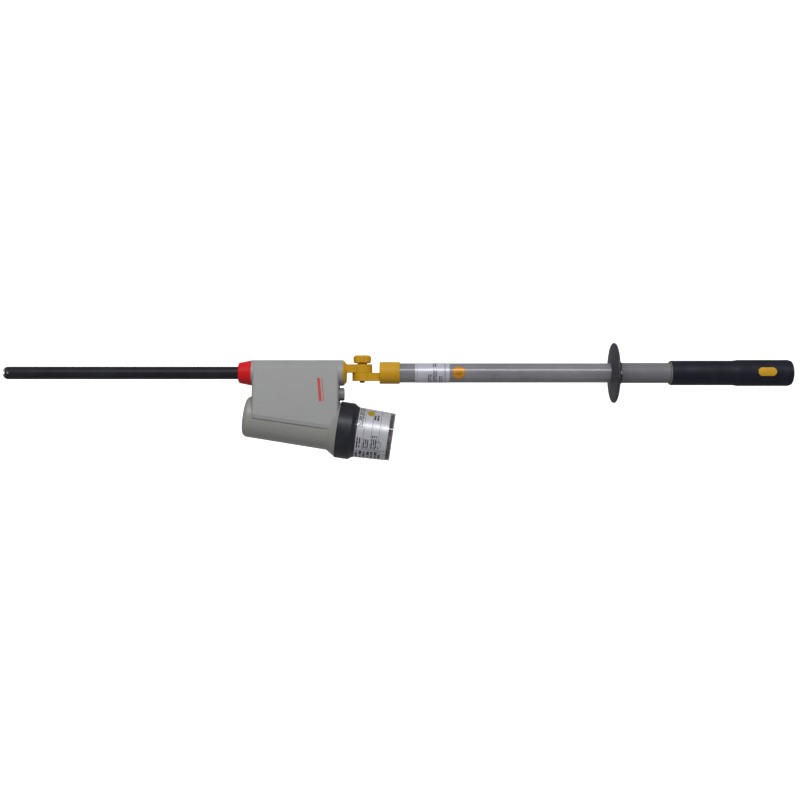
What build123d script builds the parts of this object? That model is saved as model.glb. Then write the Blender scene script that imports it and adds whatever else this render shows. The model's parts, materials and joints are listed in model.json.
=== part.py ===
from build123d import *
from math import cos, radians, sin, sqrt, tan
import os

# High-voltage detector on an insulating stick, in millimetres.
# The stick lies along X: contact electrode at -X, end cap at +X. Z is up, on the clamp knob's side.
# The origin is on the stick's axis, in the middle of the rear grip, where a holder takes the stick.

# Clearances
glue_gap = 0.1  # between bonded round faces
running_gap = 0.05  # round a shaft that turns in its hole
slide_gap = 0.1  # round a button in its opening
union_gap = 0.3  # round the union ring's plain thread land and the cup
face_gap = 0.05  # between flat faces of two moving bodies

# Insulating tube
tube_r = 15.0
tube_wall = 3.0
tube_bore_r = tube_r - tube_wall

# Handle: a core on the tube, and grips on the core
core_wall = 1.9
core_r = tube_r + glue_gap + core_wall
grip_bore_r = core_r + glue_gap
front_grip_wall = 1.9
front_grip_r = grip_bore_r + front_grip_wall
rear_grip_wall = 3.15
rear_grip_r = grip_bore_r + rear_grip_wall
rear_grip_length = 78.0
grip_step_length = 8.0
front_grip_length = 97.0
cap_step = 1.1
cap_r = rear_grip_r - cap_step
cap_length = 5.0
front_ring_length = 1.2
handle_sleeve_wall = 0.55

# Release button on the rear grip
release_x = 2.0
release_roll = 5.0  # degrees the handle is turned about the stick
release_length = 28.4
release_width = 13.2
release_lip = 1.5
release_travel = 2.5
release_stem_r = 4.0

# Hand guard
guard_r = 46.5
guard_collar_wall = 2.9
guard_collar_r = tube_r + glue_gap + guard_collar_wall
guard_hub_flange = 8.0
guard_hub_r = guard_collar_r + guard_hub_flange
guard_to_handle = 86.0
sleeve_to_guard = 331.7

# Coupling
sleeve_wall = 1.9
sleeve_r = tube_r + glue_gap + sleeve_wall
sleeve_length = 31.6
sleeve_end_wall = 3.0
arm_reach = 26.7
flange_reach = 24.3
lug_r = 15.5
lug_width = 24.0
lug_plane_z = 0.4
lug_gap = 0.2
upper_lug_top = 13.2
lower_lug_bottom = -12.5
stud_r = 4.0
nub_height = 2.9

# Clamp knob
knob_r = 13.75
knob_height = 11.85
washer_land = 3.5
washer_r = stud_r + washer_land
washer_height = 2.0

# Detector barrel and prod
barrel_r = 20.0
barrel_wall = 3.0
barrel_length = 141.3
flange_length = 5.0
flange_small_r = 14.0
prod_r = 9.75
prod_wall = 2.5
prod_reach = 360.1
crown_step = 1.0
crown_r = prod_r - crown_step
crown_height = 3.0
crown_notch = 3.2
crown_floor = 0.8
collar_length = 20.7
collar_wall = 5.95
collar_small_r = prod_r + collar_wall
collar_large_r = barrel_r - 0.2

# Indicator case, slanted under the barrel
case_tilt = 8.2  # degrees its axis falls towards the cup
case_back = 11.6  # how far its closed end stands past the barrel's end
case_start_r = 31.6
web_height = 15.0  # between the barrel and the case's closed end
case_drop = barrel_r + web_height + case_start_r  # from the stick's axis to where its axis starts
case_draft = 1.02  # degrees
case_length = 132.1
case_wall = 2.6
case_end_round = 8.0
flare_rise = 8.7
flare_length = 13.6
neck_step = 1.6
neck_wall = 3.5
neck_length = 14.0
web_skin = 1.3  # how proud of the case the web stands
web_top_z = 8.0
web_top_r = barrel_r + 0.8
web_inset_left = 2.0
web_inset_right = 6.4
web_wall = 3.0

# Union ring and indicator cup
union_wall = 2.4
union_straight = 21.2
union_length = 28.7
union_lip = 0.8
gasket_height = 1.2
cup_step = 2.3  # how far the cup's wall stands inside the neck's outside
cup_draft = 2.1  # how much smaller its end is, in radius
cup_wall = 2.0
cup_flange_height = 3.0
cup_straight = 13.75
cup_taper_length = 56.5
hood_short = 6.5  # how far the hood stops before the cup's end

# Test button on the web's end wall
test_r = 10.0
test_proud = 8.0
test_below_barrel = 13.0
test_drop = barrel_r + test_below_barrel
test_travel = 2.5
test_stem_r = 2.0
test_stem_length = 4.0

label_thickness = 0.2
pin_r = 1.5

# Stations along X, from the origin towards the electrode
rear_x0 = -rear_grip_length / 2
rear_x1 = rear_grip_length / 2
cap_x1 = rear_x1 + cap_length
step_x0 = rear_x0 - grip_step_length
front_x0 = step_x0 - front_grip_length
guard_x = front_x0 - guard_to_handle
sleeve_x1 = guard_x - sleeve_to_guard
sleeve_x0 = sleeve_x1 - sleeve_length
pivot_x = sleeve_x0 - arm_reach
flange_x1 = pivot_x - flange_reach
barrel_x1 = flange_x1 - flange_length
barrel_x0 = barrel_x1 - barrel_length
collar_x0 = barrel_x0 - collar_length
prod_x0 = collar_x0 - prod_reach
web_x0 = barrel_x0 + web_inset_left
web_x1 = barrel_x1 - web_inset_right

# The case's own plane: X along its axis towards the cup, Y away from the axis, upwards.
tilt = radians(case_tilt)
case_x0 = barrel_x0 - case_back
case_along = (cos(tilt), 0, -sin(tilt))
case_plane = Plane(origin=(case_x0, 0, -case_drop), x_dir=case_along, z_dir=(0, -1, 0))
case_axis = Axis((case_x0, 0, -case_drop), case_along)
draft_rate = tan(radians(case_draft))
case_end_r = case_start_r + case_length * draft_rate
flare_end = case_length + flare_length
flare_r = case_end_r + flare_rise
neck_r = flare_r - neck_step
neck_bore_r = neck_r - neck_wall
neck_end = flare_end + neck_length
union_r = neck_r + union_gap + union_wall
cup_r = neck_r - cup_step
cup_end_r = cup_r - cup_draft
union_lip_r = cup_r + union_lip


def across_case(along):
    """Plane square to the case's axis, at a distance along it."""
    return Plane(
        origin=case_plane.from_local_coords((along, 0, 0)),
        x_dir=(0, 1, 0),
        z_dir=case_along,
    )


def web_section(x, inset, top_z):
    """Corners of the web's cross-section at a station along X: top, side and bottom, as (y, z)."""
    along = (x - case_x0) / cos(tilt)
    axis_z = -case_drop - along * sin(tilt)
    foot_y = case_start_r + along * draft_rate + web_skin
    shoulder_z = axis_z + 0.17 * foot_y
    head_y = sqrt(web_top_r**2 - web_top_z**2)
    share = (web_top_z - top_z) / (web_top_z - shoulder_z)
    top_y = head_y + share * (foot_y - head_y)
    right = [(top_y - inset, top_z), (foot_y - inset, shoulder_z), (foot_y - inset, axis_z)]
    return right + [(-y, z) for y, z in reversed(right)]


# ---------------------------------------------------------------- prod and electrode

electrode_shank_length = 16.0
electrode_pin_x = prod_x0 + 4.5
resistor_r = 5.0
resistor_length = 220.0
resistor_start = prod_x0 + 80.0
resistor_end = resistor_start + resistor_length
resistor_cap_length = 6.0
resistor_cap_step = 0.4
lead_r = 1.2
prod_inside_barrel = 20.0
prod_end = barrel_x0 + prod_inside_barrel
prod_bore_r = prod_r - prod_wall

# Contact electrode: bronze plug with a crown of six blunt teeth
with BuildPart() as contact_electrode:
    with BuildSketch(Plane.YZ.offset(prod_x0)):
        Circle(crown_r)
    extrude(amount=-crown_height)
    chamfer(contact_electrode.edges().sort_by(Axis.X)[0], 0.8)
    with BuildSketch(Plane.YZ.offset(prod_x0)):
        Circle(prod_bore_r - glue_gap)
    extrude(amount=electrode_shank_length)
    for turn in (0, 60, 120):
        notch_plane = Plane.YZ.offset(prod_x0 - crown_height).rotated((turn, 0, 0))
        with BuildSketch(notch_plane):
            Rectangle(3 * crown_r, crown_notch)
        extrude(amount=crown_height - crown_floor, mode=Mode.SUBTRACT)
    with BuildSketch(Plane.XZ.offset(-prod_r)):
        with Locations((electrode_pin_x, 0)):
            Circle(pin_r)
    extrude(amount=2 * prod_r, mode=Mode.SUBTRACT)

with BuildPart() as electrode_pin:
    with BuildSketch(Plane.XZ.offset(-prod_r)):
        with Locations((electrode_pin_x, 0)):
            Circle(pin_r)
    extrude(amount=2 * prod_r)

with BuildPart() as prod_tube:
    with BuildSketch(Plane.YZ.offset(prod_x0)):
        Circle(prod_r)
    extrude(amount=prod_end - prod_x0)
    fillet(prod_tube.edges().sort_by(Axis.X)[0], 1.2)
    with BuildSketch(Plane.YZ.offset(prod_x0)):
        Circle(prod_bore_r)
    extrude(amount=prod_end - prod_x0, mode=Mode.SUBTRACT)
    with BuildSketch(Plane.XZ.offset(-prod_r)):
        with Locations((electrode_pin_x, 0)):
            Circle(pin_r)
    extrude(amount=2 * prod_r, mode=Mode.SUBTRACT)

# Two leads: electrode to resistor, and resistor to the detector's board
with BuildPart() as lead_rods:
    with BuildSketch(Plane.YZ.offset(prod_x0 + electrode_shank_length)):
        Circle(lead_r)
    extrude(amount=resistor_start - resistor_cap_length - prod_x0 - electrode_shank_length)
    with BuildSketch(Plane.YZ.offset(resistor_end + resistor_cap_length)):
        Circle(lead_r)
    extrude(amount=prod_end - resistor_end - resistor_cap_length)

with BuildPart() as series_resistor:
    with BuildSketch(Plane.YZ.offset(resistor_start)):
        Circle(resistor_r)
    extrude(amount=resistor_length)

with BuildPart() as resistor_caps:
    with BuildSketch(Plane.YZ.offset(resistor_start)):
        Circle(resistor_r + resistor_cap_step)
    extrude(amount=-resistor_cap_length)
    with BuildSketch(Plane.YZ.offset(resistor_end)):
        Circle(resistor_r + resistor_cap_step)
    extrude(amount=resistor_cap_length)

# Discs that hold the resistor in the middle of the prod
spacer_length = 4.0
with BuildPart() as resistor_spacers:
    for share in (0.1, 0.5, 0.9):
        with BuildSketch(Plane.YZ.offset(resistor_start + share * resistor_length)):
            Circle(prod_bore_r - glue_gap)
            Circle(resistor_r + glue_gap, mode=Mode.SUBTRACT)
        extrude(amount=spacer_length)

# Red collar: the limit to which the prod may go in
collar_round = 2.4
with BuildPart() as red_collar:
    with BuildSketch(Plane.XZ):
        with BuildLine():
            Polyline(
                (collar_x0, prod_r + glue_gap),
                (collar_x0, collar_small_r),
                (barrel_x0, collar_large_r),
                (barrel_x0, prod_r + glue_gap),
                close=True,
            )
        make_face()
    revolve(axis=Axis.X)
    fillet(red_collar.edges().group_by(Axis.X)[0].sort_by(SortBy.RADIUS)[-1], collar_round)

nose_wall = 4.0
nose_seal_length = 5.0
with BuildPart() as nose_seal:
    with BuildSketch(Plane.YZ.offset(barrel_x0 + nose_wall)):
        Circle(barrel_r - barrel_wall - glue_gap)
        Circle(prod_r + glue_gap, mode=Mode.SUBTRACT)
    extrude(amount=nose_seal_length)

# ---------------------------------------------------------------- detector housing

button_z = -test_drop
flange_pin_x = barrel_x1 - 6.0
web_edge_r = 4.0
wire_hole_inset = 30.0
wire_hole_r = 4.0
flare_hollow_step = 2.5

# Body of the web, with its upright edges rounded, before it joins the barrel and the case
with BuildPart() as web_block:
    with BuildSketch(Plane.YZ.offset(web_x0)):
        with BuildLine():
            Polyline(*web_section(web_x0, 0, web_top_z), close=True)
        make_face()
    with BuildSketch(Plane.YZ.offset(web_x1)):
        with BuildLine():
            Polyline(*web_section(web_x1, 0, web_top_z), close=True)
        make_face()
    loft(ruled=True)
    end_edges = web_block.faces().sort_by(Axis.X)[0].edges() + web_block.faces().sort_by(Axis.X)[-1].edges()
    fillet(end_edges.filter_by(lambda edge: abs(edge.center().Y) > 1), web_edge_r)

with BuildPart() as detector_housing:
    # Slanted case with its flare
    with BuildSketch(case_plane):
        with BuildLine():
            Polyline(
                (0, 0),
                (0, case_start_r),
                (case_length, case_end_r),
                (flare_end, flare_r),
                (flare_end, 0),
                close=True,
            )
        make_face()
    revolve(axis=case_axis)
    fillet(detector_housing.edges().group_by(Axis.X)[0], case_end_round)
    # Web that hangs from the barrel and stands a little proud of the case
    add(web_block.part)
    # Barrel round the stick's axis
    with BuildSketch(Plane.YZ.offset(barrel_x0)):
        Circle(barrel_r)
    extrude(amount=barrel_length)
    # Neck for the union ring
    with BuildSketch(across_case(flare_end)):
        Circle(neck_r)
    extrude(amount=neck_length)
    # Hollow of the case
    with BuildSketch(case_plane):
        with BuildLine():
            Polyline(
                (case_wall, 0),
                (case_wall, case_start_r - case_wall),
                (case_length + 2, case_end_r - case_wall),
                (flare_end - flare_hollow_step, neck_bore_r),
                (neck_end, neck_bore_r),
                (neck_end, 0),
                close=True,
            )
        make_face()
    revolve(axis=case_axis, mode=Mode.SUBTRACT)
    # Hollow of the web, open to the case
    hollow_top = -barrel_r - 1.0
    with BuildSketch(Plane.YZ.offset(web_x0 + web_wall)):
        with BuildLine():
            Polyline(*web_section(web_x0 + web_wall, web_wall + web_skin, hollow_top), close=True)
        make_face()
    with BuildSketch(Plane.YZ.offset(web_x1 - web_wall)):
        with BuildLine():
            Polyline(*web_section(web_x1 - web_wall, web_wall + web_skin, hollow_top), close=True)
        make_face()
    loft(ruled=True, mode=Mode.SUBTRACT)
    # Bores of the barrel and of its nose
    with BuildSketch(Plane.YZ.offset(barrel_x0 + nose_wall)):
        Circle(barrel_r - barrel_wall)
    extrude(amount=barrel_length - nose_wall, mode=Mode.SUBTRACT)
    with BuildSketch(Plane.YZ.offset(barrel_x0)):
        Circle(prod_r + glue_gap)
    extrude(amount=nose_wall, mode=Mode.SUBTRACT)
    # Wire hole between the barrel and the web
    with BuildSketch(Plane.XY.offset(-barrel_r - 2)):
        with Locations((web_x0 + wire_hole_inset, 0)):
            Circle(wire_hole_r)
    extrude(amount=barrel_wall + 3.5, mode=Mode.SUBTRACT)
    # Opening of the test button
    with BuildSketch(Plane.YZ.offset(web_x1 - web_wall - 1)):
        with Locations((0, button_z)):
            Circle(test_r + slide_gap)
    extrude(amount=web_wall + 2, mode=Mode.SUBTRACT)
    # Cross hole of the flange pin
    with BuildSketch(Plane.XY.offset(-barrel_r)):
        with Locations((flange_pin_x, 0)):
            Circle(pin_r)
    extrude(amount=2 * barrel_r, mode=Mode.SUBTRACT)

# ---------------------------------------------------------------- electronics in the case

chassis_top = 6.0
chassis_plate = 2.0
chassis_start = 20.0
chassis_disc = 3.0
disc_start = flare_end + 1.0
disc_end = disc_start + chassis_disc
chassis_clearance = 1.4
chassis_room_r = case_start_r - case_wall - chassis_clearance
chassis_half_width = sqrt(chassis_room_r**2 - chassis_top**2)

# Plastic carrier: a disc in the neck and a plate along the case
with BuildPart() as chassis:
    with BuildSketch(across_case(disc_start)):
        Circle(neck_bore_r - glue_gap)
    extrude(amount=chassis_disc)
    with BuildSketch(case_plane.offset(-chassis_half_width)):
        with Locations(((chassis_start + disc_start) / 2, chassis_top - chassis_plate / 2)):
            Rectangle(disc_start - chassis_start, chassis_plate)
    extrude(amount=2 * chassis_half_width)

board_start = 26.0
board_length = 98.0
board_inset = 2.5
board_half_width = chassis_half_width - board_inset
board_mid = board_start + board_length / 2
board_lift = 2.0
board_thickness = 1.6
board_bottom = chassis_top + board_lift
with BuildPart() as circuit_board:
    with BuildSketch(case_plane.offset(-board_half_width)):
        with Locations((board_mid, board_bottom + board_thickness / 2)):
            Rectangle(board_length, board_thickness)
    extrude(amount=2 * board_half_width)

board_top = board_bottom + board_thickness
standoff_r = 3.0
standoff_inset = 6.0
standoff_pitch_x = board_length - 2 * standoff_inset
standoff_pitch_y = 36.0
# Looking down on the board: X along the case, Y across it
deck = Plane(origin=case_plane.origin, x_dir=case_along, z_dir=case_plane.y_dir)

with BuildPart() as board_standoffs:
    with BuildSketch(deck.offset(chassis_top)):
        with Locations((board_mid, 0)):
            with GridLocations(standoff_pitch_x, standoff_pitch_y, 2, 2):
                Circle(standoff_r)
    extrude(amount=board_lift)

# Chips as (distance along the board, distance across it, length, width)
chips = [(30.0, 6.0, 18.0, 12.0), (30.0, -14.0, 10.0, 6.0), (62.0, -10.0, 12.0, 12.0)]
chip_height = 3.0
with BuildPart() as board_chips:
    with BuildSketch(deck.offset(board_top)):
        for chip_along, chip_across, chip_length, chip_width in chips:
            with Locations((board_start + chip_along, chip_across)):
                Rectangle(chip_length, chip_width)
    extrude(amount=chip_height)

capacitor_r = 4.0
capacitor_height = 9.0
capacitor_pitch = 12.0
with BuildPart() as board_capacitors:
    with BuildSketch(deck.offset(board_top)):
        with Locations((board_start + 70, 12)):
            with GridLocations(capacitor_pitch, 0, 3, 1):
                Circle(capacitor_r)
    extrude(amount=capacitor_height)

battery_start = 58.0
battery_length = 46.0
battery_width = 26.2
battery_height = 17.2
battery_clearance = 0.4
tray_wall = 1.5
plate_bottom = chassis_top - chassis_plate
battery_top = plate_bottom - battery_clearance
battery_mid = battery_top - battery_height / 2
with BuildPart() as battery:
    with BuildSketch(case_plane.offset(-battery_width / 2)):
        with Locations((battery_start + battery_length / 2, battery_mid)):
            RectangleRounded(battery_length, battery_height, 1.5)
    extrude(amount=battery_width)

# Open-topped tray that hangs under the carrier's plate
tray_half_width = battery_width / 2 + battery_clearance + tray_wall
tray_depth = battery_height + 2 * battery_clearance
tray_height = tray_depth + tray_wall
tray_length = battery_length + 12.0
with BuildPart() as battery_tray:
    with BuildSketch(across_case(battery_start - battery_clearance - tray_wall)):
        with Locations((0, plate_bottom - tray_height / 2)):
            Rectangle(2 * tray_half_width, tray_height)
    extrude(amount=tray_length)
    with BuildSketch(across_case(battery_start - battery_clearance)):
        with Locations((0, plate_bottom - tray_depth / 2)):
            Rectangle(2 * (tray_half_width - tray_wall), tray_depth)
    extrude(amount=tray_length, mode=Mode.SUBTRACT)

contact_x = battery_start + battery_length
contact_r = 3.6
contact_pitch = 12.6
contact_length = 4.0
with BuildPart() as battery_contacts:
    with BuildSketch(across_case(contact_x)):
        with Locations((0, battery_mid)):
            with GridLocations(contact_pitch, 0, 2, 1):
                Circle(contact_r)
    extrude(amount=contact_length)

# Round indicator board on the carrier's disc, with lamps and buzzer
hood_gap = 1.4
hood_r = cup_end_r - cup_wall - hood_gap
hood_wall = 1.4
lamp_count = 8
lamp_r = 2.5
lamp_height = 7.0
lamp_round = 2.2
lamp_circle_r = hood_r - 7.0
board_rim_gap = 1.0
with BuildPart() as indicator_board:
    with BuildSketch(across_case(disc_end)):
        Circle(neck_bore_r - board_rim_gap)
    extrude(amount=board_thickness)

lamp_base = disc_end + board_thickness
with BuildPart() as indicator_lamps:
    with BuildSketch(across_case(lamp_base)):
        with PolarLocations(lamp_circle_r, lamp_count):
            Circle(lamp_r)
    extrude(amount=lamp_height)
    lamp_tips = indicator_lamps.faces().filter_by(GeomType.PLANE).sort_by(case_axis)[-lamp_count:]
    fillet(lamp_tips.edges(), lamp_round)

buzzer_r = 15.0
buzzer_height = 10.0
buzzer_hole_r = 2.0
buzzer_hole_depth = 3.0
with BuildPart() as buzzer:
    with BuildSketch(across_case(lamp_base)):
        Circle(buzzer_r)
    extrude(amount=buzzer_height)
    with BuildSketch(across_case(lamp_base + buzzer_height - buzzer_hole_depth)):
        Circle(buzzer_hole_r)
    extrude(amount=buzzer_hole_depth, mode=Mode.SUBTRACT)

# Dark tube inside the cup that keeps daylight off the lamps
hood_end = neck_end + gasket_height + cup_straight + cup_taper_length - hood_short
with BuildPart() as inner_hood:
    with BuildSketch(across_case(lamp_base)):
        Circle(hood_r)
        Circle(hood_r - hood_wall, mode=Mode.SUBTRACT)
    extrude(amount=hood_end - lamp_base)

diffuser_thickness = 2.0
diffuser_inset = 4.0
with BuildPart() as light_diffuser:
    with BuildSketch(across_case(hood_end - diffuser_inset)):
        Circle(hood_r - hood_wall - glue_gap)
    extrude(amount=diffuser_thickness)

with BuildPart() as case_gasket:
    with BuildSketch(across_case(neck_end)):
        Circle(neck_r)
        Circle(neck_bore_r, mode=Mode.SUBTRACT)
    extrude(amount=gasket_height)

# ---------------------------------------------------------------- cup and union ring

cup_start = neck_end + gasket_height + face_gap
flange_top = cup_start + cup_flange_height
taper_start = cup_start + cup_straight
cup_end = taper_start + cup_taper_length

with BuildPart() as indicator_cup:
    with BuildSketch(case_plane):
        with BuildLine():
            Polyline(
                (cup_start, cup_r - cup_wall),
                (cup_start, neck_r),
                (flange_top, neck_r),
                (flange_top, cup_r),
                (taper_start, cup_r),
                (cup_end, cup_end_r),
                (cup_end, 0),
                (cup_end - cup_wall, 0),
                (cup_end - cup_wall, cup_end_r - cup_wall),
                (taper_start, cup_r - cup_wall),
                close=True,
            )
        make_face()
    revolve(axis=case_axis)
    fillet(indicator_cup.edges().group_by(case_axis)[-1], 1.0)

label_inset = 1.5
label_start = taper_start + label_inset
label_length = 48.0
cup_taper_rate = (cup_r - cup_end_r) / cup_taper_length
label_r0 = cup_r - label_inset * cup_taper_rate
label_r1 = label_r0 - label_length * cup_taper_rate
with BuildPart() as cup_label:
    with BuildSketch(case_plane):
        with BuildLine():
            Polyline(
                (label_start, label_r0),
                (label_start, label_r0 + label_thickness),
                (label_start + label_length, label_r1 + label_thickness),
                (label_start + label_length, label_r1),
                close=True,
            )
        make_face()
    revolve(axis=case_axis)

union_bevel_length = 2.0
union_bevel_step = 0.2
union_start = flare_end + union_gap
union_end = union_start + union_length
lip_start = flange_top + 2 * face_gap
with BuildPart() as union_ring:
    with BuildSketch(case_plane):
        with BuildLine():
            Polyline(
                (union_start, neck_r + union_gap),
                (union_start, union_r),
                (union_start + union_straight, union_r),
                (union_end - union_bevel_length, union_lip_r + union_bevel_step),
                (union_end, union_lip_r),
                (union_end, cup_r + union_gap),
                (lip_start, cup_r + union_gap),
                (lip_start, neck_r + union_gap),
                close=True,
            )
        make_face()
    revolve(axis=case_axis)
    fillet(union_ring.edges().group_by(case_axis)[0].sort_by(SortBy.RADIUS)[-1], 0.8)

# ---------------------------------------------------------------- test button

test_flange = 1.4
test_flange_r = test_r + 1.4
wall_inner_x = web_x1 - web_wall
test_back_x = wall_inner_x - face_gap - test_flange
switch_height = 3.2
switch_gap = 0.8
bracket_x = test_back_x - test_stem_length - test_travel - switch_gap - switch_height

with BuildPart() as test_button:
    with BuildSketch(Plane.YZ.offset(wall_inner_x - face_gap)):
        with Locations((0, button_z)):
            Circle(test_r)
    extrude(amount=web_x1 + test_proud - wall_inner_x + face_gap)
    fillet(test_button.edges().group_by(Axis.X)[-1], 1.5)
    with BuildSketch(Plane.YZ.offset(test_back_x)):
        with Locations((0, button_z)):
            Circle(test_flange_r)
    extrude(amount=test_flange)
    with BuildSketch(Plane.YZ.offset(test_back_x)):
        with Locations((0, button_z)):
            Circle(test_stem_r)
    extrude(amount=-test_stem_length)

# Bracket across the web that carries the switch
bracket_thickness = 2.0
bracket_half_width = 9.0
bracket_top = -barrel_r - 1.0
bracket_height = 24.0
with BuildPart() as switch_bracket:
    with BuildSketch(Plane.YZ.offset(bracket_x)):
        with Locations((0, bracket_top - bracket_height / 2)):
            Rectangle(2 * bracket_half_width, bracket_height)
    extrude(amount=-bracket_thickness)

with BuildPart() as test_switch:
    with BuildSketch(Plane.YZ.offset(bracket_x)):
        with Locations((0, button_z)):
            Rectangle(6, 6)
    extrude(amount=switch_height)

# Spring round the switch, between bracket and button
spring_wire_r = 0.4
test_spring_r = 6.5
with BuildPart() as test_button_spring:
    spring_length = test_back_x - bracket_x - 2 * spring_wire_r - 0.1
    with BuildLine():
        test_coil = Helix(
            pitch=spring_length / 3,
            height=spring_length,
            radius=test_spring_r,
            center=(bracket_x + spring_wire_r + 0.05, 0, button_z),
            direction=(1, 0, 0),
        )
    with BuildSketch(Plane(origin=test_coil @ 0, z_dir=test_coil % 0)):
        Circle(spring_wire_r)
    sweep(path=test_coil)

# ---------------------------------------------------------------- coupling

upper_lug_bottom = lug_plane_z + lug_gap / 2
lower_lug_top = lug_plane_z - lug_gap / 2
spigot_length = 12.0

# Flange with the upper lug: turns with the detector
with BuildPart() as upper_lug:
    with BuildSketch(Plane.XZ):
        with BuildLine():
            Polyline(
                (barrel_x1 - spigot_length, 0),
                (barrel_x1 - spigot_length, barrel_r - barrel_wall - glue_gap),
                (barrel_x1, barrel_r - barrel_wall - glue_gap),
                (barrel_x1, barrel_r - 0.6),
                (barrel_x1 + 1.0, barrel_r - 0.6),
                (flange_x1, flange_small_r),
                (flange_x1, 0),
                close=True,
            )
        make_face()
    revolve(axis=Axis.X)
    with BuildSketch(Plane.XY.offset(upper_lug_bottom)):
        with Locations((pivot_x, 0)):
            Circle(lug_r)
        with Locations(((pivot_x + flange_x1 - 1) / 2, 0)):
            Rectangle(pivot_x - flange_x1 + 1, lug_width)
    extrude(amount=upper_lug_top - upper_lug_bottom)
    fillet(upper_lug.edges().filter_by(GeomType.CIRCLE).group_by(Axis.Z)[-1], 1.2)
    with BuildSketch(Plane.XY.offset(-barrel_r)):
        with Locations((flange_pin_x, 0)):
            Circle(pin_r)
    extrude(amount=2 * barrel_r, mode=Mode.SUBTRACT)
    with BuildSketch(Plane.XY.offset(upper_lug_bottom)):
        with Locations((pivot_x, 0)):
            Circle(stud_r + running_gap)
    extrude(amount=upper_lug_top - upper_lug_bottom, mode=Mode.SUBTRACT)

with BuildPart() as flange_pin:
    with BuildSketch(Plane.XY.offset(-barrel_r + 0.2)):
        with Locations((flange_pin_x, 0)):
            Circle(pin_r)
    extrude(amount=2 * barrel_r - 0.4)

# Lower lug with the sleeve that is bonded on the tube
stud_head_r = stud_r + 2.5
stud_head_height = 2.0
disc_r = 11.0
disc_thickness = 1.0
disc_top = upper_lug_bottom - face_gap
with BuildPart() as lower_lug:
    with BuildSketch(Plane.YZ.offset(sleeve_x0)):
        Circle(sleeve_r)
    extrude(amount=sleeve_length)
    fillet(lower_lug.edges(), 1.4)
    with BuildSketch(Plane.XY.offset(lower_lug_bottom)):
        with Locations((pivot_x, 0)):
            Circle(lug_r)
        with Locations((pivot_x + (arm_reach + 1) / 2, 0)):
            Rectangle(arm_reach + 1, lug_width)
    extrude(amount=lower_lug_top - lower_lug_bottom)
    with BuildSketch(Plane.YZ.offset(sleeve_x0 + sleeve_end_wall)):
        Circle(tube_r + glue_gap)
    extrude(amount=sleeve_length, mode=Mode.SUBTRACT)
    with BuildSketch(Plane.XY.offset(disc_top - disc_thickness)):
        with Locations((pivot_x, 0)):
            Circle(disc_r + glue_gap)
    extrude(amount=disc_thickness, mode=Mode.SUBTRACT)
    with BuildSketch(Plane.XY.offset(lower_lug_bottom)):
        with Locations((pivot_x, 0)):
            Circle(stud_r)
    extrude(amount=lower_lug_top - lower_lug_bottom, mode=Mode.SUBTRACT)
    with BuildSketch(Plane.XY.offset(lower_lug_bottom)):
        with Locations((pivot_x, 0)):
            Circle(stud_head_r)
    extrude(amount=stud_head_height, mode=Mode.SUBTRACT)
    with BuildSketch(Plane.XY.offset(-sleeve_r)):
        with Locations(((sleeve_x0 + sleeve_x1) / 2, 0)):
            Circle(pin_r)
    extrude(amount=2 * sleeve_r, mode=Mode.SUBTRACT)

with BuildPart() as friction_disc:
    with BuildSketch(Plane.XY.offset(disc_top - disc_thickness)):
        with Locations((pivot_x, 0)):
            Circle(disc_r)
            Circle(stud_r + glue_gap, mode=Mode.SUBTRACT)
    extrude(amount=disc_thickness)

# Stud: its flat head lies in the lower lug and ends in a rounded nub
washer_bottom = upper_lug_top + face_gap
knob_bottom = washer_bottom + washer_height + face_gap
knob_top = knob_bottom + knob_height
knob_roof = 1.6
stud_top = knob_top - knob_roof - 0.6
with BuildPart() as clamp_stud:
    with BuildSketch(Plane.XY.offset(lower_lug_bottom - nub_height)):
        with Locations((pivot_x, 0)):
            Circle(stud_r)
    extrude(amount=stud_top - lower_lug_bottom + nub_height)
    fillet(clamp_stud.edges().group_by(Axis.Z)[0], 1.6)
    chamfer(clamp_stud.edges().group_by(Axis.Z)[-1], 0.6)
    with BuildSketch(Plane.XY.offset(lower_lug_bottom)):
        with Locations((pivot_x, 0)):
            Circle(stud_head_r)
    extrude(amount=stud_head_height)

with BuildPart() as clamp_washer:
    with BuildSketch(Plane.XY.offset(washer_bottom)):
        with Locations((pivot_x, 0)):
            Circle(washer_r)
            Circle(stud_r + running_gap, mode=Mode.SUBTRACT)
    extrude(amount=washer_height)

insert_r = stud_r + 2.5
insert_height = 9.0
knob_bevel_top = 2.6
knob_bevel_bottom = 1.6
scallop_r = 4.0
scallop_depth = 1.2
with BuildPart() as clamp_knob:
    with BuildSketch(Plane.XY.offset(knob_bottom)):
        with Locations((pivot_x, 0)):
            Circle(knob_r)
    extrude(amount=knob_height)
    chamfer(clamp_knob.edges().group_by(Axis.Z)[-1], knob_bevel_top)
    chamfer(clamp_knob.edges().group_by(Axis.Z)[0], knob_bevel_bottom)
    with BuildSketch(Plane.XY.offset(knob_bottom)):
        with Locations((pivot_x, 0)):
            with PolarLocations(knob_r + scallop_r - scallop_depth, 8, start_angle=22.5):
                Circle(scallop_r)
    extrude(amount=knob_height, mode=Mode.SUBTRACT)
    with BuildSketch(Plane.XY.offset(knob_bottom)):
        with Locations((pivot_x, 0)):
            Circle(stud_r + running_gap)
    extrude(amount=knob_height - knob_roof, mode=Mode.SUBTRACT)
    with BuildSketch(Plane.XY.offset(knob_bottom)):
        with Locations((pivot_x, 0)):
            Circle(insert_r)
    extrude(amount=insert_height, mode=Mode.SUBTRACT)

with BuildPart() as knob_insert:
    with BuildSketch(Plane.XY.offset(knob_bottom)):
        with Locations((pivot_x, 0)):
            Circle(insert_r)
            Circle(stud_r + running_gap, mode=Mode.SUBTRACT)
    extrude(amount=insert_height)

# ---------------------------------------------------------------- insulating tube

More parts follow.
